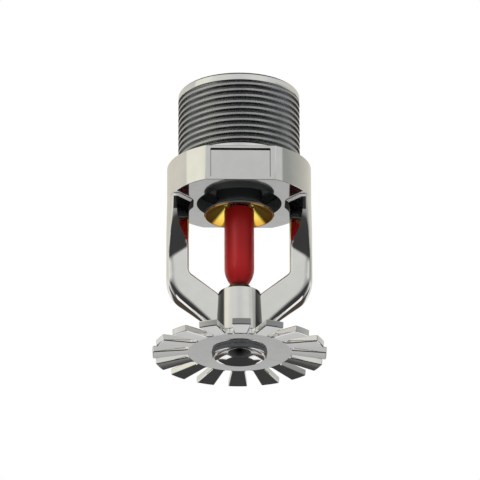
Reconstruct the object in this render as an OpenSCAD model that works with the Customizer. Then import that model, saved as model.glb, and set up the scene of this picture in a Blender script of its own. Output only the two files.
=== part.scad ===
// Pendent fire sprinkler head with a frangible glass bulb, in millimetres.
// The origin is on the axis at the shoulder where the inlet thread meets the wrench boss.
// +Z points up into the pipe, the two frame arms lie along X and the wrench flats face along Y.

/* [Inlet and wrench boss] */
// Outside diameter of the inlet thread
thread_d = 21.3; // [20.5:0.1:21.7]
// Length of the inlet above the boss
inlet_len = 14; // [12:0.1:17]
// Length of the chamfer at the top of the inlet
lead_len = 0.3; // [0.2:0.05:1]
// Drop in radius over that chamfer
lead_drop = 0.15; // [0.1:0.05:0.5]
// Diameter of the waterway
orifice_d = 12.7; // [12:0.1:13.2]
// Diameter of the wrench boss and of the outer faces of the arms
boss_d = 25.1; // [24.6:0.1:26.5]
// Height of the wrench boss
boss_h = 6.4; // [6:0.1:8]
// Width across the two wrench flats
flats_w = 22; // [21.9:0.1:22.6]
// Width of the sunk panel on each flat
panel_w = 10.4; // [6:0.1:10.6]
// Margin above and below the sunk panel
panel_margin = 0.5; // [0.4:0.1:1]
// Depth of the sunk panel
panel_depth = 0.5; // [0.2:0.1:0.6]

/* [Frame arms and knuckle] */
// Height of the open window, from the boss down to the top of the knuckle
window_h = 16.75; // [16:0.05:18]
// Clear width between the two arms
window_w = 17.5; // [17:0.1:18]
// Half angle of each arm's wedge shape, seen from below
arm_half_angle = 12.3; // [10:0.1:14]
// Thickness of an arm's root where it meets the boss
root_t = 9.6; // [8:0.1:10]
// Height of the thick root of an arm
root_h = 10; // [8:0.1:11]
// Radius of the bend at the foot of an arm
bell_r = 6; // [5:0.1:6.2]
// Slope of the web between an arm and the knuckle
web_slope = 38.4; // [35:0.1:41]
// Diameter of the knuckle at its top
knuckle_top_d = 7.3; // [7:0.1:7.8]
// Diameter of the knuckle where the deflector seats
knuckle_seat_d = 8.3; // [8:0.1:9]
// Height of the knuckle above the deflector
knuckle_h = 9.85; // [9:0.05:10.5]

/* [Deflector] */
// Diameter over the tips of the tines
deflector_d = 30.2; // [28:0.1:34]
// Diameter of the plain ring inside the tines
ring_d = 17.8; // [16:0.1:19]
// Thickness of the deflector sheet
deflector_t = 1.15; // [0.8:0.05:1.6]
// Number of tines
tine_count = 16; // [12:2:18]
// Width of the slot between two tines at its inner end
slot_root_w = 1.5; // [1:0.1:1.6]
// Width of the slot between two tines at the tips
slot_tip_w = 2.8; // [2:0.1:3.2]
// Droop of the tines below the ring, in degrees
tine_droop = 5.8; // [2:0.1:10]
// Diameter of the rolled rim that holds the deflector
rim_d = 9.3; // [9:0.1:10]
// Height of the rolled rim
rim_h = 0.9; // [0.8:0.1:1.4]

/* [Bulb and load screw] */
// Diameter of the glass bulb
bulb_d = 5.1; // [4.8:0.1:5.3]
// Wall thickness of the bulb
bulb_wall = 0.6; // [0.4:0.05:0.8]
// Height of the bubble over the liquid, measured from the shoulder of the bulb
bubble_drop = 0.6; // [0.2:0.1:1.5]
// Diameter of the load screw
screw_d = 3.9; // [3.6:0.1:4.2]
// Length of the load screw
screw_len = 8; // [6:0.1:9]
// Height of the screw above the knuckle
screw_stand = 1.25; // [0.8:0.05:1.6]
// Width across the flats of the screw's drive socket
socket_w = 2; // [1.5:0.1:2.2]

/* [Seal and pip cap] */
// Depth of the seal's counterbore in the underside of the boss
seat_depth = 2.8; // [2.5:0.1:3]
// Diameter of the disc spring
spring_d = 14.2; // [13.8:0.1:14.4]
// Thickness of the disc spring
spring_t = 0.35; // [0.25:0.05:0.4]
// Height of the disc spring's cone under load
spring_cone = 0.25; // [0.1:0.05:0.4]
// Thickness of each seal film
film_t = 0.1; // [0.05:0.05:0.15]
// Diameter of the pip cap's flared rim
cap_rim_d = 12.2; // [11:0.1:13]
// Depth of the pip cap's flare below the boss
cap_flare_h = 2.3; // [1.8:0.1:2.6]
// Thickness of the pip cap's sheet at the rim
cap_t = 0.5; // [0.4:0.05:0.6]

/* [Hidden] */
$fn = 96;
// Overshoot that carries a cut clear of the face it opens
over = 1;
// Clearance of sliding and seated fits
fit = 0.05;
thread_r = thread_d / 2;
boss_r = boss_d / 2;
bore_r = orifice_d / 2;
boss_z = -boss_h;
// Frame arms: heights of the knuckle's top, of the arms' bends and of the window's lower corners
knuckle_z = boss_z - window_h;
bend_z = knuckle_z + 2.45;
corner_z = knuckle_z + 3.3;
window_x = window_w / 2;
corner_r = 1.1;
head_r = 1.45;
window_slope = 35;
waist_x = knuckle_top_d / 2;
waist_half = waist_x * tan(arm_half_angle);
root_flare = 50;
root_taper = 0.8;
root_steps = 8;
// Knuckle and rolled rim
seat_r = knuckle_seat_d / 2;
deflector_z = knuckle_z - knuckle_h;
neck_r = seat_r - 0.55;
rim_z = deflector_z - deflector_t;
rim_r = rim_d / 2;
rim_edge = 0.45;
lip_rise = 0.12;
mouth_r = 1.15;
screw_r = screw_d / 2;
// Deflector
tip_r = deflector_d / 2;
ring_r = ring_d / 2;
tip_drop = (tip_r - ring_r) * tan(tine_droop);
tip_lean = deflector_t * sin(tine_droop);
// Bulb: the lower end tapers to a small round tip and the upper end is blunt with a pip
bulb_r = bulb_d / 2;
screw_z = knuckle_z + screw_stand;
foot_z = screw_z + 3.3;
shoulder_z = boss_z - 0.6;
foot_blend = 4.6;
foot_tip = 1.5;
top_blend = 1.4;
top_tip = 3;
pip_r = 0.7;
pip_h = 2.1;
// Seal stack from the seat ledge down, at its outer edge
seat_z = boss_z + seat_depth;
counterbore_r = spring_d / 2 + 0.3;
film_z = seat_z - fit;
spring_z = film_z - film_t;
lower_film_z = spring_z - spring_t;
stack_z = lower_film_z - film_t;
spring_hole_r = 3.3;
// Pip cap and its insert
spigot_r = spring_hole_r - 0.1;
stem_r = spigot_r + 0.8;
socket_r = bulb_r + 0.2;
insert_z = shoulder_z + 0.8;
insert_h = 1.3;
pip_hole_r = 1.2;
cap_top_z = seat_z + 0.4;
pip_room_z = cap_top_z - 0.6;
cap_rim_z = boss_z - cap_flare_h;
cap_rim_r = cap_rim_d / 2;

// Frame: inlet, wrench boss, arms and knuckle in one casting
module frame() {
    color("Silver")
    difference() {
        union() {
            inlet();
            boss();
            arms();
            knuckle();
        }
        waterway();
        translate([0, 0, rim_z - rim_h - over])
            cylinder(r = screw_r + fit, h = knuckle_z - rim_z + rim_h + 2 * over);
    }
}

module inlet() {
    translate([0, 0, -over]) cylinder(r = thread_r, h = inlet_len - lead_len + over);
    translate([0, 0, inlet_len - lead_len]) cylinder(r1 = thread_r, r2 = thread_r - lead_drop, h = lead_len);
}

// Round boss with two wrench flats, each with a bare sunk panel
module boss() {
    difference() {
        translate([0, 0, boss_z]) cylinder(r = boss_r, h = boss_h);
        for (side = [0, 180]) rotate([0, 0, side]) {
            translate([-boss_r, -flats_w / 2 - boss_r, boss_z - over])
                cube([boss_d, boss_r, boss_h + 2 * over]);
            translate([-panel_w / 2, -flats_w / 2 - over, boss_z + panel_margin])
                cube([panel_w, panel_depth + over, boss_h - 2 * panel_margin]);
        }
    }
}

module waterway() {
    translate([0, 0, seat_z - over]) cylinder(r = bore_r, h = inlet_len - seat_z + 2 * over);
    translate([0, 0, boss_z - over]) cylinder(r = counterbore_r, h = seat_depth + over);
}

// Both arms and their webs: a bell-shaped solid cut to a bow tie in plan and opened by the window
module arms() {
    difference() {
        intersection() {
            rotate_extrude() bell_outline();
            union() {
                arm_wedges();
                arm_roots();
            }
        }
        rotate([90, 0, 0]) linear_extrude(height = boss_d, center = true) window_outline();
    }
}

module bell_outline() {
    bend_x = boss_r - bell_r;
    web_start = [bend_x + bell_r * sin(web_slope), bend_z - bell_r * cos(web_slope)];
    web_end_x = screw_r + over;
    web_end_z = web_start.y - (web_start.x - web_end_x) * tan(web_slope);
    polygon([[0, boss_z], [boss_r, boss_z], [boss_r, bend_z], web_start, [web_end_x, web_end_z],
             [0, web_end_z]]);
    intersection() {
        translate([bend_x, bend_z]) circle(r = bell_r);
        translate([0, bend_z - bell_r]) square([boss_r, 2 * bell_r]);
    }
}

module arm_wedges() {
    reach = boss_r + over;
    reach_half = reach * tan(arm_half_angle);
    translate([0, 0, deflector_z]) linear_extrude(height = boss_z - deflector_z)
        polygon([[-reach, -reach_half], [-waist_x, -waist_half], [waist_x, -waist_half],
                 [reach, -reach_half], [reach, reach_half], [waist_x, waist_half],
                 [-waist_x, waist_half], [-reach, reach_half]]);
}

// Thick roots under the boss, with bevelled inner faces and a smooth run-out down the arm
module arm_roots() {
    half_in = window_x * tan(arm_half_angle);
    run = boss_r + over - window_x;
    half_out = half_in + run * tan(root_flare);
    intersection() {
        translate([0, 0, boss_z - root_h]) linear_extrude(height = root_h)
            for (side = [0, 180]) rotate(side)
                polygon([[window_x, -half_in], [window_x + run, -half_out], [window_x + run, half_out],
                         [window_x, half_in]]);
        rotate([90, 0, 90]) linear_extrude(height = 2 * (boss_r + over), center = true) root_outline();
    }
}

module root_outline() {
    top_half = root_t / 2;
    mid_half = top_half - root_taper;
    low_half = window_x * tan(arm_half_angle);
    blend_z = boss_z - 0.46 * root_h;
    low_z = boss_z - root_h;
    right = [for (i = [0 : root_steps]) let (t = i / root_steps)
             [low_half + (mid_half - low_half) * cos(90 * t), blend_z + (low_z - blend_z) * t]];
    left = [for (i = [root_steps : -1 : 0]) [-right[i].x, right[i].y]];
    polygon(concat([[top_half, boss_z]], right, left, [[-top_half, boss_z]]));
}

// Window between the arms: round upper corners and a sloping floor that runs down to the knuckle
module window_outline() {
    tangent = corner_r * tan((90 - window_slope) / 2);
    floor_z = corner_z - window_x * tan(window_slope);
    square_top = boss_z - head_r;
    wall_end = corner_z + tangent;
    floor_start = [window_x - tangent * cos(window_slope), corner_z - tangent * sin(window_slope)];
    polygon([[-window_x, square_top], [window_x, square_top], [window_x, wall_end], floor_start, [0, floor_z],
             [-floor_start.x, floor_start.y], [-window_x, wall_end]]);
    translate([head_r - window_x, square_top]) square([window_w - 2 * head_r, head_r]);
    for (side = [-1, 1]) {
        translate([side * (window_x - head_r), square_top]) circle(r = head_r);
        translate([side * (window_x - corner_r), wall_end]) circle(r = corner_r);
    }
}

// Tapered knuckle, the neck through the deflector and the rolled rim with its dished face
module knuckle() {
    rim_low = rim_z - rim_h;
    lip_r = screw_r + mouth_r;
    mouth_z = rim_low + lip_rise + mouth_r;
    rotate_extrude()
        difference() {
            polygon([[0, knuckle_z], [waist_x, knuckle_z], [seat_r, deflector_z], [neck_r, deflector_z],
                     [neck_r, rim_z], [rim_r, rim_z], [rim_r, rim_low + rim_edge],
                     [rim_r - 0.3 * rim_edge, rim_low + 0.3 * rim_edge], [rim_r - rim_edge, rim_low],
                     [lip_r, rim_low + lip_rise], [0, rim_low + lip_rise]]);
            difference() {
                translate([0, rim_low]) square([lip_r, lip_rise + mouth_r]);
                translate([lip_r, mouth_z]) circle(r = mouth_r);
            }
        }
}

// Toothed disc with a flat ring and drooping tines
module deflector() {
    color("LightGray")
    difference() {
        rotate_extrude()
            polygon([[neck_r + fit, deflector_z], [ring_r, deflector_z], [tip_r, deflector_z - tip_drop],
                     [tip_r - tip_lean, rim_z - tip_drop], [ring_r, rim_z], [neck_r + fit, rim_z]]);
        for (i = [0 : tine_count - 1]) rotate([0, 0, (i + 0.5) * 360 / tine_count]) slot();
    }
}

// Slot between two tines, with a round inner end
module slot() {
    root_half = slot_root_w / 2;
    tip_half = slot_tip_w / 2;
    translate([0, 0, rim_z - tip_drop - over]) linear_extrude(height = deflector_t + tip_drop + 2 * over) {
        translate([ring_r + root_half, 0]) circle(r = root_half);
        polygon([[ring_r + root_half, -root_half], [tip_r + over, -tip_half], [tip_r + over, tip_half],
                 [ring_r + root_half, root_half]]);
    }
}

// Set screw with a cup that follows the end of the bulb and a hexagon socket below
module load_screw() {
    color("DarkGoldenrod")
    difference() {
        translate([0, 0, screw_z - screw_len]) cylinder(r = screw_r, h = screw_len);
        rotate_extrude() bulb_outline(fit);
        translate([0, 0, screw_z - screw_len - over])
            cylinder(d = socket_w / cos(30), h = screw_len / 3 + over, $fn = 6);
    }
}

// Half outline of the bulb without its pip, grown by a given amount
module bulb_outline(grow) {
    foot_x = bulb_r - foot_blend;
    foot_dist = foot_blend - foot_tip;
    foot_dz = sqrt(foot_dist ^ 2 - foot_x ^ 2);
    foot_tangent_z = foot_z - foot_dz * (foot_blend + grow) / foot_dist;
    top_x = bulb_r - top_blend;
    top_dist = top_tip - top_blend;
    top_dz = sqrt(top_dist ^ 2 - top_x ^ 2);
    top_tangent_x = top_x * (top_tip + grow) / top_dist;
    intersection() {
        translate([0, knuckle_z]) square([bulb_d, -knuckle_z]);
        union() {
            translate([0, foot_z]) square([bulb_r + grow, shoulder_z - foot_z]);
            intersection() {
                translate([foot_x, foot_z]) circle(r = foot_blend + grow);
                translate([0, foot_tangent_z]) square([bulb_d, foot_z - foot_tangent_z + over]);
            }
            translate([0, foot_z - foot_dz]) circle(r = foot_tip + grow);
            translate([top_x, shoulder_z]) circle(r = top_blend + grow);
            intersection() {
                translate([0, shoulder_z - top_dz]) circle(r = top_tip + grow);
                translate([0, shoulder_z - over]) square([top_tangent_x, top_tip + over]);
            }
        }
    }
}

// Hollow glass bulb with the pip that sealed it
module bulb_glass() {
    color("Crimson", 0.6)
    difference() {
        union() {
            rotate_extrude() bulb_outline(0);
            translate([0, 0, shoulder_z]) cylinder(r = pip_r, h = pip_h);
            translate([0, 0, shoulder_z + pip_h]) sphere(r = pip_r);
        }
        rotate_extrude() bulb_outline(-bulb_wall);
    }
}

// Liquid in the bulb, with room for the bubble above it
module bulb_liquid() {
    color("FireBrick")
    intersection() {
        rotate_extrude() bulb_outline(-bulb_wall - fit / 2);
        translate([0, 0, screw_z - screw_len])
            cylinder(r = bulb_r, h = shoulder_z - bubble_drop - screw_z + screw_len);
    }
}

// Lower face of the seal stack at a given radius
function stack_at(r) = stack_z - spring_cone * (spring_d / 2 - r) / (spring_d / 2 - spring_hole_r);

// Flared gold cup: spigot through the spring, shoulder under it, socket for the bulb and flared rim
module pip_cap() {
    color("Goldenrod")
    rotate_extrude()
        polygon([[0, cap_top_z], [spigot_r, cap_top_z], [spigot_r, stack_at(spigot_r)],
                 [stem_r, stack_at(stem_r)], [stem_r, boss_z], [stem_r + 0.45, boss_z - 0.35 * cap_flare_h],
                 [cap_rim_r, cap_rim_z], [cap_rim_r - cap_t, cap_rim_z],
                 [stem_r - 0.05, boss_z - 0.45 * cap_flare_h], [stem_r - 0.35, boss_z],
                 [socket_r, boss_z], [socket_r, insert_z + insert_h], [pip_hole_r, insert_z + insert_h],
                 [pip_hole_r, pip_room_z], [0, pip_room_z]]);
}

// Ring in the cup that takes the shoulder of the bulb
module pip_cap_insert() {
    color("Gray")
    difference() {
        translate([0, 0, insert_z]) cylinder(r = socket_r, h = insert_h);
        translate([0, 0, insert_z - over]) cylinder(r = pip_hole_r, h = insert_h + 2 * over);
        rotate_extrude() bulb_outline(fit / 2);
    }
}

// Coned disc with its outer edge at a given height
module coned_disc(top_z, thickness) {
    outer_r = spring_d / 2;
    rotate_extrude()
        polygon([[spring_hole_r, top_z - spring_cone], [outer_r, top_z], [outer_r, top_z - thickness],
                 [spring_hole_r, top_z - spring_cone - thickness]]);
}

module belleville_spring() {
    color("SlateGray") coned_disc(spring_z, spring_t);
}

module upper_seal_film() {
    color("DimGray") coned_disc(film_z, film_t);
}

module lower_seal_film() {
    color("DimGray") coned_disc(lower_film_z, film_t);
}

frame();
deflector();
load_screw();
bulb_glass();
bulb_liquid();
pip_cap();
pip_cap_insert();
belleville_spring();
upper_seal_film();
lower_seal_film();
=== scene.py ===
# %% [markdown]
# # A pendent fire sprinkler head
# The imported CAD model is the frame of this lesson: every piece below is drawn in its place and in metres.
# The CAD solids have true sizes but sharp edges and plain threads, so each one that shows is drawn again
# here with its rounded edges, its thread and its finish.

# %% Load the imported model
import math

import bmesh
import bpy
from mathutils import Matrix, Vector


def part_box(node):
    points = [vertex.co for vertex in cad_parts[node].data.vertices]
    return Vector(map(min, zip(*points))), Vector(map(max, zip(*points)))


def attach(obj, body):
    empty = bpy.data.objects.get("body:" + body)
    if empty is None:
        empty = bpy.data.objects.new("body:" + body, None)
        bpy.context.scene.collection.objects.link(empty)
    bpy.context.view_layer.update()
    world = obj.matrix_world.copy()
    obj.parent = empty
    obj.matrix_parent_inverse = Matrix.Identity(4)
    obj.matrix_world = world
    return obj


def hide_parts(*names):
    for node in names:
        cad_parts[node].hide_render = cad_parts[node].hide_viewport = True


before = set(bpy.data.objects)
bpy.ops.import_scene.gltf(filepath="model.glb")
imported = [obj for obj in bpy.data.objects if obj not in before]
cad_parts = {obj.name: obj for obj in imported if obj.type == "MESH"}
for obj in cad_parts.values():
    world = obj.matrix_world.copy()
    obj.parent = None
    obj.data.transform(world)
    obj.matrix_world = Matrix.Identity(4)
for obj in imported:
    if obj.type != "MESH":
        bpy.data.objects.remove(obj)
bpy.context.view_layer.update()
MM = 0.001
print("CAD nodes:", ", ".join(sorted(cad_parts)))

# %% [markdown]
# ## Camera
# The head hangs from a pipe and is seen from below, with a long lens from about a metre away. The aim is
# the point on the axis that sits in the middle of the picture. The lens follows from the scale of the
# picture, in pixels to a millimetre, so the distance can change without changing the size of the object.

# %% Camera
PICTURE = 480
SCALE_PX_MM = 5.757
DISTANCE = 1.05
AIM = Vector((0.13, 0, -13.2)) * MM
CAMERA_AZIMUTH = math.radians(-1.3)
CAMERA_ELEVATION = math.radians(-22.2)
CAMERA_ROLL = math.radians(-0.155)
SENSOR = 36.0

camera_data = bpy.data.cameras.new("camera")
camera_data.sensor_width = SENSOR
camera_data.lens = SENSOR * SCALE_PX_MM * DISTANCE / MM / PICTURE
camera = bpy.data.objects.new("camera", camera_data)
bpy.context.scene.collection.objects.link(camera)
back = Vector((math.sin(CAMERA_AZIMUTH) * math.cos(CAMERA_ELEVATION),
               -math.cos(CAMERA_AZIMUTH) * math.cos(CAMERA_ELEVATION),
               math.sin(CAMERA_ELEVATION)))
turn = (-back).to_track_quat("-Z", "Y").to_matrix().to_4x4()
roll = Matrix.Rotation(CAMERA_ROLL, 4, "Z")
camera.matrix_world = Matrix.Translation(AIM + back * DISTANCE) @ turn @ roll
bpy.context.scene.camera = camera
bpy.context.scene.view_settings.view_transform = "Standard"
print(f"camera: {camera_data.lens:.0f} mm lens, {DISTANCE} m away")

# %% [markdown]
# ## Studio
# Chrome has no colour of its own, so what it reflects is what is seen. A picture of a studio could be
# wrapped round the scene, but a studio built from a few lights and cards can be read and changed. The
# first part of it is a pale floor well below the head, a white surround and one soft lamp.


# %% Shader helpers
def new_material(name):
    material = bpy.data.materials.new(name)
    material.use_nodes = True
    material.node_tree.nodes.clear()
    return material, material.node_tree


def add_node(tree, kind, inputs=None, **settings):
    """A new node, with its settings made and each input linked to a socket or set to a constant."""
    made = tree.nodes.new(kind)
    for key, value in settings.items():
        setattr(made, key, value)
    for key, value in (inputs or {}).items():
        if isinstance(value, bpy.types.NodeSocket):
            tree.links.new(value, made.inputs[key])
        else:
            made.inputs[key].default_value = value
    return made


def math_node(tree, operation, *values):
    return add_node(tree, "ShaderNodeMath", dict(enumerate(values)), operation=operation).outputs[0]


def mix_colours(tree, share, first, second, blend="MIX"):
    colours = {0: share, 6: first, 7: second}
    return add_node(tree, "ShaderNodeMix", colours, data_type="RGBA", blend_type=blend).outputs[2]


def ramp(tree, factor, stops):
    """A colour ramp through (place, colour) stops, where a single number is a grey."""
    made = add_node(tree, "ShaderNodeValToRGB", {"Fac": factor})
    elements = made.color_ramp.elements
    while len(elements) < len(stops):
        elements.new(1.0)
    for element, (place, colour) in zip(elements, stops):
        element.position = place
        element.color = (*colour, 1) if isinstance(colour, tuple) else (colour, colour, colour, 1)
    return made.outputs["Color"]


def show(tree, shader):
    """Puts a shader on the surface."""
    tree.links.new(shader.outputs[0], add_node(tree, "ShaderNodeOutputMaterial").inputs["Surface"])


print("shader helpers ready")

# %% Floor
FLOOR_DROP = 1.2
FLOOR_SIZE = 12

floor_material, tree = new_material("pale_floor")
show(tree, add_node(tree, "ShaderNodeBsdfPrincipled",
                    {"Base Color": (0.82, 0.82, 0.81, 1), "Roughness": 0.9}))
bpy.ops.object.select_all(action="DESELECT")
bpy.ops.mesh.primitive_plane_add(size=FLOOR_SIZE, location=(0, 0, -FLOOR_DROP))
floor = bpy.context.object
floor.name = "floor"
floor.data.materials.append(floor_material)
print(f"floor: {FLOOR_SIZE} m wide, {FLOOR_DROP} m below the head")

# %% White surround and soft lamp
LAMP_PLACE = Vector((-0.6, -0.7, 0.6))
LAMP_SIZE = 0.5
LAMP_WATTS = 6

world = bpy.data.worlds.new("white_surround")
world.use_nodes = True
tree = world.node_tree
tree.nodes.clear()
path = add_node(tree, "ShaderNodeLightPath")
seen = math_node(tree, "MAXIMUM", path.outputs["Is Camera Ray"], path.outputs["Is Glossy Ray"])
seen = math_node(tree, "MAXIMUM", seen, path.outputs["Is Transmission Ray"])
soft = add_node(tree, "ShaderNodeBackground", {"Color": (1, 1, 1, 1), "Strength": 0.7})
white = add_node(tree, "ShaderNodeBackground", {"Color": (1, 1, 1, 1), "Strength": 1.0})
mixed = add_node(tree, "ShaderNodeMixShader", {0: seen, 1: soft.outputs[0], 2: white.outputs[0]})
tree.links.new(mixed.outputs[0], add_node(tree, "ShaderNodeOutputWorld").inputs["Surface"])
bpy.context.scene.world = world

lamp_data = bpy.data.lights.new("soft_lamp", "AREA")
lamp_data.size = LAMP_SIZE
lamp_data.energy = LAMP_WATTS
lamp = bpy.data.objects.new("soft_lamp", lamp_data)
bpy.context.scene.collection.objects.link(lamp)
lamp.location = LAMP_PLACE
lamp.rotation_euler = (-LAMP_PLACE).to_track_quat("-Z", "Y").to_euler()
lamp.visible_camera = False
lamp.visible_glossy = False
print(f"lamp: {LAMP_SIZE} m wide, {LAMP_PLACE.length:.2f} m away")

# %% [markdown]
# ## Light tent
# A photographer puts a shiny thing in a tent of white paper and hangs cards in it, and each card shows in
# the chrome as a streak. This tent is a sphere that only reflections can see, and its glow depends on the
# direction alone: pale behind the head, darker on the camera's side and dark below. A card is a soft
# patch, given by a sector of the compass and a band of heights. There is a warm softbox on the left, a
# grey card on the right, and pairs of dark, pale and white cards that mirror each other.

# %% Glow of the tent by height
NEAR_SIDE = ((-60, 0.03), (2, 0.05), (10, 0.28), (16, 0.40), (22, 0.54), (28, 0.63), (40, 0.60), (62, 0.06))
FAR_SIDE = ((-60, 0.04), (-27, 0.05), (-23.6, 0.42), (-22, 0.50), (-12, 0.62), (-4, 0.85), (8, 0.85),
            (22, (0.66, 0.63, 0.55)), (40, 0.5), (54, 0.06))
SIDES_MEET = (-0.55, 0.45)

tent_material, tree = new_material("light_tent")
place = add_node(tree, "ShaderNodeTexCoord").outputs["Object"]
direction = add_node(tree, "ShaderNodeVectorMath", {0: place}, operation="NORMALIZE").outputs[0]
axes = add_node(tree, "ShaderNodeSeparateXYZ", {0: direction})
rise = math_node(tree, "MULTIPLY_ADD", axes.outputs["Z"], 0.5, 0.5)


def by_height(stops):
    """A ramp through (degrees above the horizon, colour) stops."""
    return ramp(tree, rise, [(0.5 + 0.5 * math.sin(math.radians(angle)), colour) for angle, colour in stops])


near_side = by_height(NEAR_SIDE)
far_side = by_height(FAR_SIDE)
behind = add_node(tree, "ShaderNodeMapRange",
                  {"Value": axes.outputs["Y"], "From Min": SIDES_MEET[0], "From Max": SIDES_MEET[1]},
                  interpolation_type="SMOOTHSTEP").outputs[0]
lit = mix_colours(tree, behind, near_side, far_side)
print("tent glow:", len(NEAR_SIDE), "heights on the near side,", len(FAR_SIDE), "on the far side")

# %% Cards in the tent
LEFT_SOFTBOX = ((-95, -93, -66, -15), (4, 16, 50, 70), (0.85, 0.83, 0.72, 1))
RIGHT_GREY = ((71, 73, 80, 160), (4, 14, 23, 27), (0.30, 0.31, 0.29, 1))
FAR_DARK = ((116, 124, 164, 171), (-34, -28, 3, 8), (0.07, 0.055, 0.045, 1))
NEAR_PALE = ((3, 30, 44, 60), (12, 18, 30, 40), (0.70, 0.70, 0.67, 1))
FAR_WHITE = ((151, 153, 163, 165), (-48, -47, -31, -30), (1, 1, 1, 1))
LOW_WHITE = ((52, 62, 118, 126), (-66, -60, -34, -28), (1, 1, 1, 1))
SOFT_ENDS = (0.0, 1.0, 1.0, 0.0)

toward_camera = math_node(tree, "MULTIPLY", axes.outputs["Y"], -1.0)
bearing = math_node(tree, "ARCTAN2", axes.outputs["X"], toward_camera)
bearing = add_node(tree, "ShaderNodeMapRange",
                   {"Value": bearing, "From Min": -math.pi, "From Max": math.pi}).outputs[0]


def sector(angles):
    """A soft sector of the compass, with the camera at nought and the right side positive."""
    return ramp(tree, bearing, [(0.5 + angle / 360, full) for angle, full in zip(angles, SOFT_ENDS)])


def band(heights):
    """A soft band of heights, full between the middle two angles and gone beyond the outer two."""
    return by_height(zip(heights, SOFT_ENDS))


cards = [LEFT_SOFTBOX, RIGHT_GREY]
for angles, heights, colour in (FAR_DARK, NEAR_PALE, FAR_WHITE, LOW_WHITE):
    mirrored = [-angle for angle in reversed(angles)]
    cards += [(angles, heights, colour), (mirrored, heights, colour)]
for angles, heights, colour in cards:
    lit = mix_colours(tree, math_node(tree, "MULTIPLY", sector(angles), band(heights)), lit, colour)
show(tree, add_node(tree, "ShaderNodeEmission", {"Color": lit, "Strength": 1.0}))
print("cards in the tent:", len(cards))

# %% Tent round the head
TENT_R = 1.1

bpy.ops.object.select_all(action="DESELECT")
bpy.ops.mesh.primitive_uv_sphere_add(segments=64, ring_count=32, radius=TENT_R)
tent = bpy.context.object
tent.name = "light_tent"
tent.data.materials.append(tent_material)
tent.visible_camera = False
tent.visible_diffuse = False
tent.visible_transmission = False
tent.visible_shadow = False
print("light tent:", len(tent.data.polygons), "faces, seen by reflections only")

# %% [markdown]
# ## Metal finishes
# The casting is brass under bright chrome plate: a mirror with a faint ripple from polishing and a haze
# that comes and goes. The cap is gold-coloured brass, the screw is plain brass and the disc spring is
# steel, and the screw and the spring are darkened as painted shade. One function makes them all, with a
# fine pattern on Object coordinates at its real scale. In a real studio the thread's grooves, the knuckle's
# sides and the arms' roots also reflect dark corners of the room. A tent as plain as this one can't give
# all of that, so some finishes carry it as painted shade in their tone: the thread is darker than the
# chrome and darker still in its grooves, the knuckle is dark on its sides, and the gold dish is darker
# towards its rim. It could be painted by hand, but a tint by the distance from an axis or a plane follows
# the shape by itself.

# %% Metal
RIPPLE_DEPTH = 0.02
CLOUD_SCALE = 420.0
GRAIN_SCALE = 2600.0
FROM_AXIS = (1, 1, 0)
FROM_SIDE_PLANE = (1, 0, 0)
FROM_CROSS_LINE = (1, 0, 1)


def noise(tree, place, scale, detail):
    pattern = {"Vector": place, "Scale": scale, "Detail": detail}
    return add_node(tree, "ShaderNodeTexNoise", pattern).outputs["Fac"]


def painted_shade_by_distance(tree, place, tone, axes, stops, middle=(0, 0, 0)):
    """Painted shade: the tone, tinted darker by the distance in millimetres from a middle, along the given
    axes only.
    """
    away = add_node(tree, "ShaderNodeVectorMath", {0: place, 1: Vector(middle) * MM}, operation="SUBTRACT")
    away = add_node(tree, "ShaderNodeVectorMath", {0: away.outputs[0], 1: axes}, operation="MULTIPLY")
    size = add_node(tree, "ShaderNodeVectorMath", {0: away.outputs[0]}, operation="LENGTH").outputs["Value"]
    first, last = stops[0][0], stops[-1][0]
    size = add_node(tree, "ShaderNodeMapRange",
                    {"Value": size, "From Min": first * MM, "From Max": last * MM}).outputs[0]
    tint = ramp(tree, size, [((stop - first) / (last - first), colour) for stop, colour in stops])
    return mix_colours(tree, 1.0, tone, tint, "MULTIPLY")


def metal(name, light, dark, rough, ripple, painted_shading=None):
    """A polished metal: two tones, a haze that varies and a faint ripple, at millimetre scale."""
    material, tree = new_material(name)
    place = add_node(tree, "ShaderNodeTexCoord").outputs["Object"]
    cloud = noise(tree, place, CLOUD_SCALE, 4.0)
    grain = noise(tree, place, GRAIN_SCALE, 3.0)
    tone = ramp(tree, cloud, [(0.35, dark), (0.65, light)])
    if painted_shading:
        tone = painted_shade_by_distance(tree, place, tone, *painted_shading)
    haze = add_node(tree, "ShaderNodeMapRange", {"Value": grain, "From Min": 0.3, "From Max": 0.7,
                                                 "To Min": rough * 0.7, "To Max": rough * 1.3}).outputs[0]
    bump = add_node(tree, "ShaderNodeBump",
                    {"Height": cloud, "Strength": ripple, "Distance": RIPPLE_DEPTH * MM})
    looks = {"Base Color": tone, "Metallic": 1.0, "Roughness": haze, "Normal": bump.outputs[0]}
    show(tree, add_node(tree, "ShaderNodeBsdfPrincipled", looks))
    return material


print(f"polishing ripple: {RIPPLE_DEPTH} mm deep")

# %% Chrome, brass and steel
CHROME_TONES = ((0.90, 0.90, 0.89), (0.86, 0.86, 0.85))
# Painted shade: the thread darker towards the roots of its grooves.
GROOVE_PAINTED_SHADE = ((10.3, 0.6), (10.44, 0.65), (10.56, 0.8), (10.61, 1.0), (10.7, 1.0))
# Painted shade: the knuckle dark on its left and right sides.
KNUCKLE_SIDE_SHADE = ((0.0, 1.0), (2.55, 0.95), (2.8, 0.08), (4.7, 0.05))
# Painted shade: the gold dish darker and browner towards its rim.
DISH_PAINTED_SHADE = ((2.7, 1.0), (4.6, (1.0, 0.92, 0.75)), (5.7, (0.9, 0.6, 0.4)), (5.85, (0.5, 0.3, 0.18)),
              (6.1, (0.45, 0.26, 0.15)))

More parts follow.
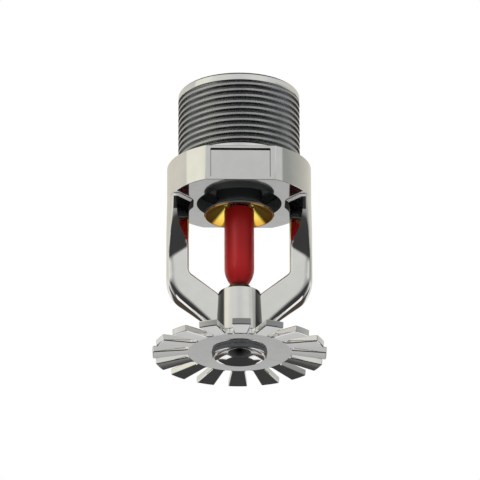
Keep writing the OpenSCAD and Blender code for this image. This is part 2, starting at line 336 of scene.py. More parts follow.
chrome = metal("chrome_plate", *CHROME_TONES, 0.07, 0.12)
# Painted shade: the thread is a darker copy of the chrome.
thread_painted_shade = metal("thread_painted_shade", (0.50, 0.51, 0.52), (0.44, 0.45, 0.46), 0.28, 0.2,
                     (FROM_AXIS, GROOVE_PAINTED_SHADE))
knuckle_painted_shade = metal("knuckle_painted_shade", *CHROME_TONES, 0.07, 0.12, (FROM_SIDE_PLANE, KNUCKLE_SIDE_SHADE))
# Painted shade: a dark metal for the panels' walls and the arms' roots.
painted_shade_metal = metal("painted_shade_metal", (0.12, 0.12, 0.12), (0.08, 0.08, 0.08), 0.3, 0.2)
gold = metal("gold_brass", (1.0, 0.82, 0.20), (0.95, 0.74, 0.15), 0.10, 0.15, (FROM_AXIS, DISH_PAINTED_SHADE))
# Painted shade: the screw's brass is darkened to near black.
screw_brass = metal("screw_brass", (0.20, 0.14, 0.05), (0.06, 0.045, 0.02), 0.22, 0.3)
# Painted shade: the spring's steel is darkened.
spring_steel_painted_shade = metal("spring_steel_painted_shade", (0.16, 0.16, 0.17), (0.11, 0.11, 0.12), 0.28, 0.25)
print("metals:", chrome.name, thread_painted_shade.name, gold.name, screw_brass.name, spring_steel_painted_shade.name)

# %% [markdown]
# ## Glass, liquid and plain finishes
# The bulb is clear glass round a dyed liquid. A liquid that lets light through would need a long path for
# each ray, and through thin glass it looks the same as a red body, so it is made as one. The bores, the
# rim's side and the outside of the cap get plain dark finishes of painted shade, darker towards the screw
# hole's middle and on the cap's stem, and the crease where each arm meets the boss gets a plain white
# finish as a painted highlight. They stand for what the real metal reflects there.

# %% Glass, liquid and plain finishes
TINT_SCALE = 260.0
# Painted shade: the cap's outside darker on its stem.
STEM_PAINTED_SHADE = ((4.1, 0.2), (4.3, 0.25), (4.8, 1.0), (6.1, 1.0))
# Painted shade: the bores darker towards the screw hole's middle.
HOLE_PAINTED_SHADE = ((0.0, 0.06), (0.5, 0.12), (1.2, 0.7), (1.8, 1.0))
HOLE_MIDDLE = (0, 0, -32.9)


def clear_body(name, light, dark, transmission, ior, rough, painted_shading=None):
    """A clear or plain body with a tint that drifts slowly through it."""
    material, tree = new_material(name)
    place = add_node(tree, "ShaderNodeTexCoord").outputs["Object"]
    tone = ramp(tree, noise(tree, place, TINT_SCALE, 2.0), [(0.3, dark), (0.7, light)])
    if painted_shading:
        tone = painted_shade_by_distance(tree, place, tone, *painted_shading)
    looks = {"Base Color": tone, "Roughness": rough, "IOR": ior, "Transmission Weight": transmission}
    show(tree, add_node(tree, "ShaderNodeBsdfPrincipled", looks))
    return material


glass = clear_body("bulb_glass", (0.97, 0.85, 0.85), (0.95, 0.82, 0.82), 1.0, 1.16, 0.01)
liquid = clear_body("red_liquid", (0.42, 0.016, 0.017), (0.38, 0.014, 0.015), 0.0, 1.20, 0.3)
# Painted shade: a plain dark finish for the outside of the cap.
cap_painted_shade = clear_body("cap_painted_shade", (0.20, 0.21, 0.21), (0.16, 0.17, 0.17), 0.0, 1.50, 0.25,
                       (FROM_AXIS, STEM_PAINTED_SHADE))
# Painted shade: a plain dark finish for the bores and the rim's side.
bore_rim_painted_shade = clear_body("bore_rim_painted_shade", (0.18, 0.19, 0.195), (0.14, 0.15, 0.155), 0.0, 1.30, 0.7,
                       (FROM_CROSS_LINE, HOLE_PAINTED_SHADE, HOLE_MIDDLE))
# Painted highlight: a plain white for the crease where each arm meets the boss.
crease_painted_highlight = clear_body("crease_painted_highlight", (0.95, 0.95, 0.95), (0.90, 0.90, 0.90), 0.0, 1.50, 0.2)
print("clear and plain finishes:", glass.name, liquid.name, cap_painted_shade.name, bore_rim_painted_shade.name)

# %% Sealing film
SPECK_SCALE = 1800.0

film, tree = new_material("seal_film")
speck = noise(tree, add_node(tree, "ShaderNodeTexCoord").outputs["Object"], SPECK_SCALE, 5.0)
tone = ramp(tree, speck, [(0.3, (0.022, 0.024, 0.025)), (0.7, (0.034, 0.036, 0.037))])
show(tree, add_node(tree, "ShaderNodeBsdfPrincipled",
                    {"Base Color": tone, "Roughness": 0.2, "Specular IOR Level": 0.15}))
print("dark finish:", film.name)

# %% [markdown]
# ## Frame, first half: boss, thread and knuckle
# The casting is turned and milled: a round boss with two wrench flats, the inlet with its thread, and a
# tapered knuckle with the rim that is rolled over to hold the deflector. Round shapes are spun from a
# half outline, and flats and panels are cut with Boolean. The thread is one pitch of outline run up a
# helix by the Screw modifier, which is how a lathe makes it. The rim's underside is a shallow bowl, and
# its section is an arc. All are joined into one mesh, since the real casting is one piece.

# %% Spin a half outline
MERGE = 0.0005


def select_only(piece):
    bpy.ops.object.select_all(action="DESELECT")
    piece.select_set(True)
    bpy.context.view_layer.objects.active = piece


def outline_loop(name, points):
    """A closed loop of edges through (radius, height) points in millimetres, on the XZ plane."""
    bpy.ops.object.select_all(action="DESELECT")
    bpy.ops.mesh.primitive_circle_add(vertices=len(points), radius=MM)
    piece = bpy.context.object
    piece.name = name
    piece.data.name = name
    for vertex, (radius, z) in zip(piece.data.vertices, points):
        vertex.co = (radius * MM, 0, z * MM)
    return piece


def clean(piece):
    """Merges doubles, drops loose edges and points the faces outwards."""
    select_only(piece)
    bpy.ops.object.mode_set(mode="EDIT")
    bpy.ops.mesh.select_all(action="SELECT")
    bpy.ops.mesh.remove_doubles(threshold=MERGE * MM)
    bpy.ops.mesh.delete_loose()
    bpy.ops.mesh.select_all(action="SELECT")
    bpy.ops.mesh.normals_make_consistent(inside=False)
    bpy.ops.object.mode_set(mode="OBJECT")


def spin(name, points, steps=128):
    piece = outline_loop(name, points)
    bpy.ops.object.mode_set(mode="EDIT")
    bpy.ops.mesh.select_all(action="SELECT")
    bpy.ops.mesh.spin(steps=steps, angle=2 * math.pi, center=(0, 0, 0), axis=(0, 0, 1))
    bpy.ops.object.mode_set(mode="OBJECT")
    clean(piece)
    return piece


def arc(centre, radius, start, end, steps=8):
    """Points of an arc round (x, z), from one angle to another in degrees."""
    angles = [math.radians(start + (end - start) * i / steps) for i in range(steps + 1)]
    return [(centre[0] + radius * math.cos(a), centre[1] + radius * math.sin(a)) for a in angles]


print("a quarter arc has", len(arc((0, 0), 1, 0, 90)), "points")


# %% Loft, cut and round
def loft(name, rings):
    """A closed body through rings of points in millimetres, bridged with quads and capped."""
    mesh = bpy.data.meshes.new(name)
    piece = bpy.data.objects.new(name, mesh)
    bpy.context.scene.collection.objects.link(piece)
    work = bmesh.new()
    rows = [[work.verts.new(point * MM) for point in ring] for ring in rings]
    for upper, lower in zip(rows, rows[1:]):
        for i in range(len(upper)):
            j = (i + 1) % len(upper)
            work.faces.new((upper[i], upper[j], lower[j], lower[i]))
    work.faces.new(rows[0])
    work.faces.new(rows[-1])
    work.to_mesh(mesh)
    work.free()
    clean(piece)
    return piece


def combine(target, tool, operation):
    """Joins a tool to the target or cuts it out, and removes the tool."""
    select_only(target)
    step = target.modifiers.new(operation.lower(), "BOOLEAN")
    step.operation = operation
    step.solver = "EXACT"
    step.object = tool
    bpy.ops.object.modifier_apply(modifier=step.name)
    bpy.data.objects.remove(tool)


def round_edges(piece, width, segments=2, angle=20):
    """Rounds each edge that is sharper than an angle, unclamped, or one short edge would hold all back."""
    select_only(piece)
    step = piece.modifiers.new("round", "BEVEL")
    step.width = width * MM
    step.segments = segments
    step.limit_method = "ANGLE"
    step.use_clamp_overlap = False
    step.angle_limit = math.radians(angle)
    bpy.ops.object.modifier_apply(modifier=step.name)


print("modelling helpers ready")

# %% Finishes on the casting's faces, and pieces on their bodies
CASTING = (chrome, thread_painted_shade, knuckle_painted_shade, painted_shade_metal, bore_rim_painted_shade, crease_painted_highlight)


def finish_face(face, material):
    face.material_index = CASTING.index(material)


def take_finishes(piece, material=chrome):
    """Gives a piece of the casting the casting's list of finishes, with one of them on all its faces."""
    for each in CASTING:
        piece.data.materials.append(each)
    for face in piece.data.polygons:
        finish_face(face, material)


def finish_piece(piece, body, slot, material, *nodes, angle=30):
    """Smooths the piece, gives it its finish and puts it on its body in place of its CAD nodes."""
    select_only(piece)
    bpy.ops.object.shade_smooth_by_angle(angle=math.radians(angle))
    even = piece.modifiers.new("even", "WEIGHTED_NORMAL")
    even.keep_sharp = True
    bpy.ops.object.modifier_apply(modifier=even.name)
    if not piece.data.materials:
        piece.data.materials.append(material)
    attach(piece, body)
    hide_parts(*nodes)
    print(f"{piece.name}: {len(piece.data.polygons)} faces on {body}")


print("finishes of the casting:", len(CASTING))

# %% Boss with its flats
frame_low, frame_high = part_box("frame")
BOSS_R = frame_high.x / MM
FLAT_Y = frame_high.y / MM
INLET_TOP = frame_high.z / MM
RIM_LOW = frame_low.z / MM
BOSS_LOW = -6.4
BOSS_EDGE = 0.06
NECK_R = 10.25
CORE_R = 9.7
NECK_TOP = 1.0
THREAD_TOP = 12.6
LEAD_R = 10.6
LEAD_EDGE = 0.3
LEAD_SLOPE = 0.7
CUTTER_W = 40
CUTTER_T = 10
LAP = 0.02

boss = spin("frame_casting", [
    (0, BOSS_LOW), (BOSS_R, BOSS_LOW), (BOSS_R, 0), (NECK_R, 0), (NECK_R, NECK_TOP), (CORE_R, NECK_TOP),
    (CORE_R, THREAD_TOP), (LEAD_R, THREAD_TOP), (LEAD_R, INLET_TOP - LEAD_EDGE),
    (LEAD_R - LEAD_SLOPE * LEAD_EDGE, INLET_TOP), (0, INLET_TOP)], steps=192)
take_finishes(boss)
for side in (-1, 1):
    bpy.ops.object.select_all(action="DESELECT")
    bpy.ops.mesh.primitive_cube_add(size=1,
                                    location=(0, side * (FLAT_Y + CUTTER_T / 2) * MM, BOSS_LOW / 2 * MM),
                                    scale=(CUTTER_W * MM, CUTTER_T * MM, (LAP - BOSS_LOW) * MM))
    bpy.ops.object.transform_apply(location=True, rotation=False, scale=True)
    combine(boss, bpy.context.object, "DIFFERENCE")
round_edges(boss, BOSS_EDGE)
print("boss:", len(boss.data.polygons), "faces with its flats")

# %% Sunk panels in the flats
PANEL_W = 10.4
PANEL_H = 5.4
PANEL_DEPTH = 0.5
PANEL_PROUD = 0.2
PANEL_CORNER = 0.15
PANEL_DRAFT = 0.25
TOLERANCE = 0.01
WALL_TILT = 0.5

for side in (-1, 1):
    rings = []
    for depth in (-PANEL_PROUD, PANEL_DEPTH):
        half_w = PANEL_W / 2 - PANEL_DRAFT * depth - PANEL_CORNER
        half_h = PANEL_H / 2 - PANEL_DRAFT * depth - PANEL_CORNER
        upper = BOSS_LOW / 2 + half_h
        lower = BOSS_LOW / 2 - half_h
        corners = (((half_w, upper), 0), ((-half_w, upper), 90),
                   ((-half_w, lower), 180), ((half_w, lower), 270))
        rings.append([Vector((x, side * (FLAT_Y - depth), z)) for centre, start in corners
                      for x, z in arc(centre, PANEL_CORNER, start, start + 90, 3)])
    combine(boss, loft("panel", rings), "DIFFERENCE")
# The panels' walls get painted shade.
for face in boss.data.polygons:
    sunk = FLAT_Y - PANEL_DEPTH < abs(face.center.y) / MM < FLAT_Y - TOLERANCE
    if sunk and abs(face.center.x) < (PANEL_W / 2 + TOLERANCE) * MM and abs(face.normal.y) < WALL_TILT:
        finish_face(face, painted_shade_metal)
print("boss:", len(boss.data.polygons), "faces with its panels")

# %% Inlet thread
THREAD_PITCH = 1.13
CREST_R = 10.62
THREAD_DEPTH = 0.26
FLANK = 0.15
CREST_FLAT = 0.36
THREAD_TURNS = 14
THREAD_STEPS = 144
TURNS_BELOW = 2.38
THREAD_START = NECK_TOP - THREAD_PITCH * TURNS_BELOW

root_r = CREST_R - THREAD_DEPTH
flank_end = THREAD_START + FLANK
one_pitch = [(root_r, THREAD_START), (CREST_R, flank_end), (CREST_R, flank_end + CREST_FLAT),
             (root_r, THREAD_START + THREAD_PITCH)]
thread = outline_loop("thread", one_pitch)
bpy.ops.object.mode_set(mode="EDIT")
bpy.ops.mesh.select_mode(type="EDGE")
bpy.ops.mesh.select_all(action="DESELECT")
bpy.ops.object.mode_set(mode="OBJECT")
for edge in thread.data.edges:
    edge.select = set(edge.vertices) == {0, len(one_pitch) - 1}
bpy.ops.object.mode_set(mode="EDIT")
bpy.ops.mesh.delete(type="EDGE")
bpy.ops.object.mode_set(mode="OBJECT")
helix = thread.modifiers.new("helix", "SCREW")
helix.axis = "Z"
helix.screw_offset = THREAD_PITCH * MM
helix.iterations = THREAD_TURNS
helix.steps = THREAD_STEPS
helix.render_steps = THREAD_STEPS
select_only(thread)
bpy.ops.object.modifier_apply(modifier=helix.name)
clean(thread)
print("thread:", len(thread.data.polygons), "faces before its ends are cut")

# %% Cut the thread's ends and join it to the boss
ON_PLANE = 1e-7

for level, clear_above in ((NECK_TOP - LAP, False), (THREAD_TOP + LAP, True)):
    bpy.ops.object.mode_set(mode="EDIT")
    bpy.ops.mesh.select_all(action="SELECT")
    bpy.ops.mesh.bisect(plane_co=(0, 0, level * MM), plane_no=(0, 0, 1), use_fill=True, threshold=ON_PLANE,
                        clear_outer=clear_above, clear_inner=not clear_above)
    bpy.ops.object.mode_set(mode="OBJECT")
clean(thread)
# The whole thread gets the thread's painted shade.
take_finishes(thread, thread_painted_shade)
combine(boss, thread, "UNION")
print("thread joined:", len(boss.data.polygons), "faces with the boss")

# %% Knuckle with its rolled rim
KNUCKLE_TOP = -23.15
KNUCKLE_TOP_R = 3.65
KNUCKLE_BORE_R = 2.0
KNUCKLE_EDGE = 0.18
SEAT_Z = -33.0
SEAT_R = 4.15
SEAT_EDGE = 0.1
SEAT_GROOVE = 0.55
RIM_TOP = -34.15
RIM_R = 4.8
RIM_EDGE = 0.3
RIM_LEAN = 0.1
RIM_TILT = 0.2
LIP_R = 4.2
LIP_RISE = 0.05
BOWL_R = 8.5
BOWL_END_R = KNUCKLE_BORE_R + 0.06

bowl_z = RIM_LOW + LIP_RISE - math.sqrt(BOWL_R ** 2 - LIP_R ** 2)
bowl_start = math.degrees(math.acos(LIP_R / BOWL_R))
bowl_end = math.degrees(math.acos(BOWL_END_R / BOWL_R))
bowl = arc((0, bowl_z), BOWL_R, bowl_start, bowl_end, 12)
knuckle = spin("knuckle", [
    (0, KNUCKLE_TOP),
    *arc((KNUCKLE_TOP_R - KNUCKLE_EDGE, KNUCKLE_TOP - KNUCKLE_EDGE), KNUCKLE_EDGE, 90, 3, 4),
    (SEAT_R, SEAT_Z + SEAT_EDGE), (SEAT_R - SEAT_EDGE, SEAT_Z), (SEAT_R - SEAT_GROOVE, SEAT_Z),
    (SEAT_R - SEAT_GROOVE, RIM_TOP - LAP), (RIM_R, RIM_TOP - LAP),
    *arc((RIM_R - RIM_LEAN - RIM_EDGE, RIM_LOW + RIM_EDGE), RIM_EDGE, 8, -90, 6),
    *bowl, (0, bowl[-1][1])])
take_finishes(knuckle)
# Painted shade: the knuckle's walls get the chrome with dark sides, and the rim's side gets the bores' dark
# finish.
for face in knuckle.data.polygons:
    if face.center.z > (SEAT_Z + SEAT_EDGE) * MM and abs(face.normal.z) < WALL_TILT:
        finish_face(face, knuckle_painted_shade)
    elif face.center.z < RIM_TOP * MM and abs(face.normal.z) < RIM_TILT:
        finish_face(face, bore_rim_painted_shade)
combine(boss, knuckle, "UNION")
print("knuckle joined:", len(boss.data.polygons), "faces")

# %% [markdown]
# ## Frame, second half: the arms
# Each arm starts thick under the boss, thins as it runs down, bends round at its foot and ends as a thin
# web on the knuckle. The thick root has a bevelled inner face, and it runs out lower on the outside than
# at the window. No operator gives that directly, so the arm is a loft: the same rounded outline is drawn
# at stations along the arm, and neighbouring outlines are bridged with quads. Then the arms join the
# casting and the bores are cut.

# %% Thickness of an arm
WEDGE = math.tan(math.radians(12.3))
WINDOW_X = 8.75
ROOT_HALF = 5.3
ROOT_END = 8.3
ROOT_LAG = 0.8
ROOT_FOOT = 1.35
ROOT_TOP = 0.49
ROOT_GROW = 0.36
ROOT_BLEND = 0.2
ROOT_EASE = 0.06
BEVEL = math.radians(51)
FOLD_LEAST = 0.62
HALVINGS = 30


def front_half(x, z):
    """Half thickness of the arm at a point, with the thick root that runs out below the boss.

    The root's gentle top and steep foot blend into each other, and the foot's end is eased.
    """
    plain = x * WEDGE
    end = ROOT_END + ROOT_LAG * max(x - WINDOW_X, 0)
    left = min(1 - (BOSS_LOW - z) / end, 1)
    if left < ROOT_EASE:
        left = max(left + ROOT_EASE, 0) ** 2 / (4 * ROOT_EASE)
    foot = ROOT_FOOT * left
    top = ROOT_TOP + ROOT_GROW * left
    blend = max(ROOT_BLEND - abs(foot - top), 0) ** 2 / (4 * ROOT_BLEND)
    return plain + (ROOT_HALF - plain) * (min(foot, top) - blend)


def fold(inner, along, inner_half, length):
    """Distance from the window edge at which the root's bevelled face meets its front, by halving."""
    low, high = 0.0, length
    for _ in range(HALVINGS):
        middle = (low + high) / 2
        front = front_half(inner[0] + along.x * middle, inner[1] + along.y * middle)
        if inner_half + middle * math.tan(BEVEL) < front:
            low = middle
        else:
            high = middle
    return max(low, FOLD_LEAST)


root_t, wall_t = 2 * front_half(WINDOW_X, BOSS_LOW), 2 * WINDOW_X * WEDGE
print(f"arm: {root_t:.1f} mm thick at the boss and {wall_t:.1f} mm at the window's edge below")

# %% Arm outline at one station
ARM_R = 12.66
WEB_END_X = 2.8
BEND_Z = -20.7
OUTER_ROUND = (0.2, 1.4)
INNER_ROUND = 0.55
FRONT_STEPS = 8
OUTER_STEPS = 6
CORNER_STEP = 0.02
MOST_OF_HALF = 0.8
MOST_OF_RUN = 0.5


def turned(before, corner, after, steps=7):
    """Points of the curve that turns a corner between two points."""
    shares = [k / steps for k in range(steps + 1)]
    return [before * (1 - t) ** 2 + corner * 2 * t * (1 - t) + after * t ** 2 for t in shares]


def arm_ring(inner, outer):
    """The arm's closed outline between an inner and an outer point on the XZ plane."""
    run = Vector((outer[0] - inner[0], outer[1] - inner[1]))
    along = run.normalized()
    inner_half = min(max(inner[0], WEB_END_X), WINDOW_X) * WEDGE
    outer_half = front_half(*outer)
    share = min(max((BOSS_LOW - outer[1]) / (BOSS_LOW - BEND_Z), 0), 1)
    rounding = OUTER_ROUND[0] + (OUTER_ROUND[1] - OUTER_ROUND[0]) * share

    def reach_at(y):
        return run.length - (outer[0] - math.sqrt(outer[0] ** 2 - y ** 2)) * along.x

    while outer_half > inner_half + reach_at(outer_half) * math.tan(BEVEL):
        outer_half -= CORNER_STEP
    corner = Vector((reach_at(outer_half), outer_half))
    round_y = outer_half - min(rounding, MOST_OF_HALF * outer_half)
    round_u = corner.x - min(rounding, MOST_OF_RUN * run.length)
    start = min(fold(inner, along, inner_half, round_u), round_u - FOLD_LEAST / 4)
    front = []
    for k in range(FRONT_STEPS + 1):
        u = start + (round_u - start) * k / FRONT_STEPS
        y = front_half(inner[0] + along.x * u, inner[1] + along.y * u)
        front.append(Vector((u, min(y, inner_half + u * math.tan(BEVEL)))))
    edge = Vector((0, inner_half))
    toward = (front[0] - edge).normalized()
    half = [*turned(Vector((0, inner_half - INNER_ROUND)), edge, edge + toward * INNER_ROUND), *front,
            *turned(front[-1], corner, Vector((reach_at(round_y), round_y)))[1:]]
    for k in range(1, OUTER_STEPS):
        y = round_y * (1 - k / OUTER_STEPS)
        half.append(Vector((reach_at(y), y)))
    whole = [*half, Vector((run.length, 0)), *(Vector((p.x, -p.y)) for p in reversed(half))]
    return [Vector((inner[0] + along.x * p.x, p.y, inner[1] + along.y * p.x)) for p in whole]


print(f"arm outline: {len(arm_ring((WINDOW_X, -15), (ARM_R, -15)))} points")

# %% Stations down the straight wall of an arm
HEAD_R = 1.3
HEAD_STEP = 0.93
CORNER_R = 1.1
CORNER_Z = -19.85
WINDOW_SLOPE = math.radians(35)
SHOULDER = 0.12
SHOULDER_FADE = 2.5
ROOT_SINK = 0.3
ROOT_DRAW = 0.2
WALL_STATIONS = 44
WALL_CROWDING = 1.4


def window_edge(z):
    """Distance of the window's edge from the axis, with a round head that meets the boss at an edge."""
    lift = z - (BOSS_LOW - HEAD_R)
    if lift <= 0:
        return WINDOW_X
    return WINDOW_X - HEAD_R + math.sqrt(HEAD_R ** 2 - min(lift, HEAD_STEP * HEAD_R) ** 2)


wall_end = CORNER_Z + CORNER_R * math.tan((math.pi / 2 - WINDOW_SLOPE) / 2)
sunk_z = BOSS_LOW + ROOT_SINK
stations = [((window_edge(BOSS_LOW) + ROOT_SINK, sunk_z), (ARM_R - ROOT_DRAW, sunk_z))]
for k in range(WALL_STATIONS + 1):
    share = (k / WALL_STATIONS) ** WALL_CROWDING
    z_in = BOSS_LOW + (wall_end - BOSS_LOW) * share
    z_out = BOSS_LOW + (BEND_Z - BOSS_LOW) * share
    drawn_in = SHOULDER * max(1 - SHOULDER_FADE * share, 0)
    stations.append(((window_edge(z_in), z_in), (ARM_R - drawn_in, z_out)))
print("stations down the wall:", len(stations))

# %% Stations round the bend and along the web
BEND_R = 6.0
WEB_SLOPE = math.radians(38.4)
BEND_STATIONS = 14
WEB_STATIONS = 8

bend_in = arc((WINDOW_X - CORNER_R, wall_end), CORNER_R, 0, -90 + math.degrees(WINDOW_SLOPE), BEND_STATIONS)
bend_out = arc((ARM_R - BEND_R, BEND_Z), BEND_R, 0, -90 + math.degrees(WEB_SLOPE), BEND_STATIONS)
stations += list(zip(bend_in, bend_out))[1:]
for k in range(1, WEB_STATIONS + 1):
    ends = []
    for start, slope in ((bend_in[-1], WINDOW_SLOPE), (bend_out[-1], WEB_SLOPE)):
        x = start[0] + (WEB_END_X - start[0]) * k / WEB_STATIONS
        ends.append((x, start[1] - (start[0] - x) * math.tan(slope)))
    stations.append(tuple(ends))
print("arm stations:", len(stations))

# %% Loft the arms and join them to the casting
ROOT_CREASE = (0.1, 0.5)
ROOT_SHADE = 2.8
FACES_OUT = 0.6

for side in (0, math.pi):
    half_turn = Matrix.Rotation(side, 3, "Z")
    arm = loft("arm", [[half_turn @ point for point in arm_ring(*pair)] for pair in stations])
    take_finishes(arm)
    # Faces of a root that don't face outwards get painted shade, and those beside the window's edge just
    # under the boss get a painted highlight.
    for face in arm.data.polygons:
        outward = Vector(face.center[:2]).normalized().dot(Vector(face.normal[:2]))
        drop = BOSS_LOW - face.center.z / MM
        if outward < FACES_OUT and ROOT_CREASE[0] < drop < ROOT_SHADE:
            beside = abs(face.center.y) > WINDOW_X * WEDGE * MM
            finish_face(face, crease_painted_highlight if beside and drop < ROOT_CREASE[1] else painted_shade_metal)
    combine(boss, arm, "UNION")
print("arms joined:", len(boss.data.polygons), "faces")

# %% Waterway, seal seat and screw hole
BORE_R = 6.35
BORE_EDGE = 0.25
SEAT_LEDGE = -3.6
COUNTERBORE_R = 7.4
CUT_PAST = 1

waterway = spin("waterway", [
    (0, BOSS_LOW - CUT_PAST), (COUNTERBORE_R, BOSS_LOW - CUT_PAST), (COUNTERBORE_R, SEAT_LEDGE),
    (BORE_R, SEAT_LEDGE), (BORE_R, INLET_TOP - BORE_EDGE),
    (BORE_R + BORE_EDGE + CUT_PAST, INLET_TOP + CUT_PAST), (0, INLET_TOP + CUT_PAST)])
# The bores get the dark finish of painted shade.
take_finishes(waterway, bore_rim_painted_shade)
combine(boss, waterway, "DIFFERENCE")
screw_hole = spin("screw_hole", [
    (0, RIM_LOW - CUT_PAST), (KNUCKLE_BORE_R, RIM_LOW - CUT_PAST), (KNUCKLE_BORE_R, KNUCKLE_TOP + CUT_PAST),
    (0, KNUCKLE_TOP + CUT_PAST)], steps=64)
take_finishes(screw_hole, bore_rim_painted_shade)
combine(boss, screw_hole, "DIFFERENCE")
finish_piece(boss, "frame", "chrome", chrome, "frame", angle=18)

# %% [markdown]
# ## Deflector
# A stamped disc: a flat ring with sixteen tines that droop a little, so that the water is thrown out and
# down. The disc is spun from its section, one slot is made for each gap and turned to its place, all
# slots are cut, and the stamped edges are broken with a small bevel.

# %% Disc of the deflector
deflector_low, deflector_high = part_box("deflector")
TIP_R = 15.1
RING_R = 8.9
DISC_HOLE_R = SEAT_R - 0.5
SHEET = 1.15
TIP_DROP = (deflector_high.z - deflector_low.z) / MM - SHEET
TIP_LEAN = SHEET * TIP_DROP / (TIP_R - RING_R)

deflector = spin("deflector_disc", [
    (DISC_HOLE_R, SEAT_Z), (RING_R, SEAT_Z), (TIP_R, SEAT_Z - TIP_DROP),
    (TIP_R - TIP_LEAN, RIM_TOP - TIP_DROP), (RING_R, RIM_TOP), (DISC_HOLE_R, RIM_TOP)], steps=192)
print(f"deflector: tips droop by {TIP_DROP:.2f} mm")

# %% Slots of the deflector
TINES = 16
SLOT_ROOT = 1.5
SLOT_TIP = 2.8
STAMPED_EDGE = 0.14

slots = []
for k in range(TINES):
    root = arc((RING_R + SLOT_ROOT / 2, 0), SLOT_ROOT / 2, 90, 270, 10)
    points = [(TIP_R + CUT_PAST, SLOT_TIP / 2), *root, (TIP_R + CUT_PAST, -SLOT_TIP / 2)]
    slot = outline_loop("slot", points)
    for vertex, (x, y) in zip(slot.data.vertices, points):
        vertex.co = (x * MM, y * MM, (RIM_TOP - TIP_DROP - CUT_PAST) * MM)
    bpy.ops.object.mode_set(mode="EDIT")
    bpy.ops.mesh.select_all(action="SELECT")
    bpy.ops.mesh.edge_face_add()
    through = (0, 0, (SHEET + TIP_DROP + 2 * CUT_PAST) * MM)
    bpy.ops.mesh.extrude_region_move(TRANSFORM_OT_translate={"value": through})
    bpy.ops.object.mode_set(mode="OBJECT")
    slot.data.transform(Matrix.Rotation(2 * math.pi * (k + 0.5) / TINES, 4, "Z"))
    clean(slot)
    slots.append(slot)
select_only(slots[0])
for slot in slots[1:]:
    slot.select_set(True)
bpy.ops.object.join()
combine(deflector, slots[0], "DIFFERENCE")
round_edges(deflector, STAMPED_EDGE, segments=2, angle=50)
finish_piece(deflector, "frame", "chrome", chrome, "deflector", angle=4)

# %% [markdown]
# ## Bulb, liquid and load screw
# The bulb is a sealed glass tube with a long round lower end, a blunt upper end and a pip. Its outline is
# four arcs that run into each other, and the same outline, grown or shrunk, gives the cavity, the liquid
# and the cup of the screw. The liquid fills the bulb but for a bubble, and laps a little into the glass,
# so that no film of air shows between them. The screw has a thread and a hexagon socket.

# %% Bulb outline
BULB_R = 2.6
BULB_WALL = 0.4
FOOT_Z = -18.6
SHOULDER_Z = -7.0
FOOT_BLEND = 4.6
FOOT_TIP = 1.5
TOP_BLEND = 1.4
TOP_TIP = 3.0


def arc_middles(blend, tip):
    """Where an end's blend arc has its middle, off the axis, and how far along the axis the tip arc's is."""
    sideways = BULB_R - blend
    rise = math.sqrt((blend - tip) ** 2 - sideways ** 2)
    return sideways, rise


def bulb_side(grow):
    """The bulb's outline from the lower tip up to the upper dome, grown by a given amount."""
    foot_x, foot_rise = arc_middles(FOOT_BLEND, FOOT_TIP)
    foot_angle = math.degrees(math.atan2(-foot_rise, -foot_x))
    top_x, top_rise = arc_middles(TOP_BLEND, TOP_TIP)
    top_angle = math.degrees(math.atan2(top_rise, top_x))
    return [*arc((0, FOOT_Z - foot_rise), FOOT_TIP + grow, -90, foot_angle, 6),
            *arc((foot_x, FOOT_Z), FOOT_BLEND + grow, foot_angle, 0, 14)[1:],
            *arc((top_x, SHOULDER_Z), TOP_BLEND + grow, 0, top_angle, 6),
            *arc((0, SHOULDER_Z - top_rise), TOP_TIP + grow, top_angle, 90, 6)[1:]]


print("bulb outline:", len(bulb_side(0)), "points")

# %% Bulb glass
PIP_R = 0.7
PIP_TOP = -4.2
PIP_FOOT = 0.15

outside = [point for point in bulb_side(0) if not (point[1] > SHOULDER_Z and point[0] < PIP_R)]
pip = [(PIP_R, outside[-1][1] + PIP_FOOT), *arc((0, PIP_TOP - PIP_R), PIP_R, 0, 90, 6)]
bulb = spin("bulb_shell", [*outside, *pip], steps=96)
cavity = spin("cavity", bulb_side(-BULB_WALL), steps=96)
combine(bulb, cavity, "DIFFERENCE")
finish_piece(bulb, "load_train", "bulb_glass", glass, "bulb_glass")

# %% Liquid with its bubble
LIQUID_TOP = -7.6
LIQUID_LAP = 0.03
MENISCUS = 0.25

wet = [point for point in bulb_side(LIQUID_LAP - BULB_WALL) if point[1] < LIQUID_TOP]
wet_r = BULB_R - BULB_WALL + LIQUID_LAP
surface = [(wet_r, LIQUID_TOP), (wet_r - 0.2, LIQUID_TOP - 0.6 * MENISCUS),
           (wet_r - 0.6, LIQUID_TOP - MENISCUS), (0, LIQUID_TOP - 1.2 * MENISCUS)]
red = spin("bulb_fill", [*wet, *surface], steps=96)
finish_piece(red, "load_train", "red_liquid", liquid, "bulb_liquid")

# %% Load screw
SCREW_R = 1.95
SCREW_TOP = -21.9
SCREW_LOW = -29.9
SCREW_PITCH = 1.0
SCREW_TURNS = 6
SCREW_GROOVE = 0.3
SCREW_PLAIN = 1.5
SCREW_EDGE = 0.15
SCREW_POINT = 0.3
CUP_FIT = 0.05
CUP_LIP = 0.06
SOCKET_W = 2.0
SOCKET_DEPTH = 2.67

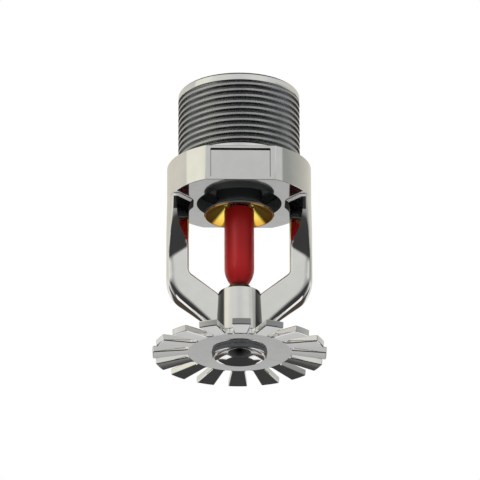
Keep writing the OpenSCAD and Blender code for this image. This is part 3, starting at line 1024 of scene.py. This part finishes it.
grooves = []
for k in range(SCREW_TURNS):
    z = SCREW_TOP - SCREW_PLAIN - k * SCREW_PITCH
    grooves += [(SCREW_R, z), (SCREW_R - SCREW_GROOVE, z - SCREW_PITCH / 3),
                (SCREW_R, z - 2 * SCREW_PITCH / 3)]
cup = [point for point in bulb_side(CUP_FIT) if point[1] < SCREW_TOP]
screw = spin("set_screw", [
    (0, SCREW_LOW), (SCREW_R - SCREW_POINT, SCREW_LOW), (SCREW_R, SCREW_LOW + SCREW_POINT),
    *reversed(grooves), (SCREW_R, SCREW_TOP - SCREW_EDGE), (SCREW_R - SCREW_EDGE, SCREW_TOP),
    (cup[-1][0] + CUP_LIP, SCREW_TOP), *reversed(cup)], steps=72)
bpy.ops.object.select_all(action="DESELECT")
bpy.ops.mesh.primitive_cylinder_add(vertices=6, radius=SOCKET_W / 2 / math.cos(math.pi / 6) * MM,
                                    depth=2 * SOCKET_DEPTH * MM, location=(0, 0, SCREW_LOW * MM))
bpy.ops.object.transform_apply(location=True, rotation=True, scale=True)
combine(screw, bpy.context.object, "DIFFERENCE")
finish_piece(screw, "load_screw", "screw_brass", screw_brass, "load_screw")

# %% [markdown]
# ## Gold cap
# The cap is a small trumpet: a spigot through the disc spring, a stem, and a flare that guides the top of
# the bulb. A flare is a smooth curve, so its outside is an arc in the spun section. The dish inside is
# bright gold with painted shade towards its rim, and the outside gets a dark painted shade, so the faces
# are told apart by whether they look away from the axis.

# %% Gold cap
SPIGOT_R = 3.2
STEM_R = 4.0
STEM_TOP = -4.4
STEM_FALL = 0.06
CAP_TOP = -3.2
CAP_EDGE = 0.1
SOCKET_R = 2.75
SOCKET_TOP = -4.9
SOCKET_EDGE = 0.15
PIP_HOLE_R = 1.2
PIP_ROOM = -3.8
FLARE_R = 6.1
FLARE_LOW = -8.7
FLARE_LIP = 0.12
FLARE_ROUND = 3.1
FLARE_MIDDLE = (FLARE_R + 1.0, FLARE_LOW + 3.35)
CONE_TOP = -6.55
CONE_TOP_R = SOCKET_R + 0.5

cap = spin("flared_cap", [
    (0, CAP_TOP), (SPIGOT_R - CAP_EDGE, CAP_TOP), (SPIGOT_R, CAP_TOP - CAP_EDGE),
    (SPIGOT_R, STEM_TOP - STEM_FALL), (STEM_R, STEM_TOP), *arc(FLARE_MIDDLE, FLARE_ROUND, 180, 250, 12),
    (FLARE_R, FLARE_LOW + FLARE_LIP), (FLARE_R - FLARE_LIP, FLARE_LOW),
    (FLARE_R - 2 * FLARE_LIP, FLARE_LOW), (CONE_TOP_R, CONE_TOP), (SOCKET_R + SOCKET_EDGE, BOSS_LOW),
    (SOCKET_R, BOSS_LOW + SOCKET_EDGE), (SOCKET_R, SOCKET_TOP), (PIP_HOLE_R, SOCKET_TOP),
    (PIP_HOLE_R, PIP_ROOM), (0, PIP_ROOM)], steps=128)
cap.data.materials.append(gold)
cap.data.materials.append(cap_painted_shade)
# The outside of the cap, from the stem's top to the lip, gets painted shade.
for face in cap.data.polygons:
    faces_out = face.center.x * face.normal.x + face.center.y * face.normal.y > 0
    if faces_out and STEM_TOP * MM > face.center.z > (FLARE_LOW + 2 * FLARE_LIP) * MM:
        face.material_index = 1
finish_piece(cap, "load_train", "gold_brass", gold, "pip_cap")

# %% [markdown]
# ## Spring, films and insert
# These seal parts sit in the counterbore, and only their lower faces show past the cap. Their CAD shapes
# are right as they are, so they keep their meshes and get their finishes.

# %% Seal parts
# The spring and the insert get steel darkened as painted shade.
for node, material in (("belleville_spring", spring_steel_painted_shade), ("pip_cap_insert", spring_steel_painted_shade),
                       ("upper_seal_film", film), ("lower_seal_film", film)):
    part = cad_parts[node]
    part.data.materials.clear()
    part.data.materials.append(material)
print("seal parts finished")
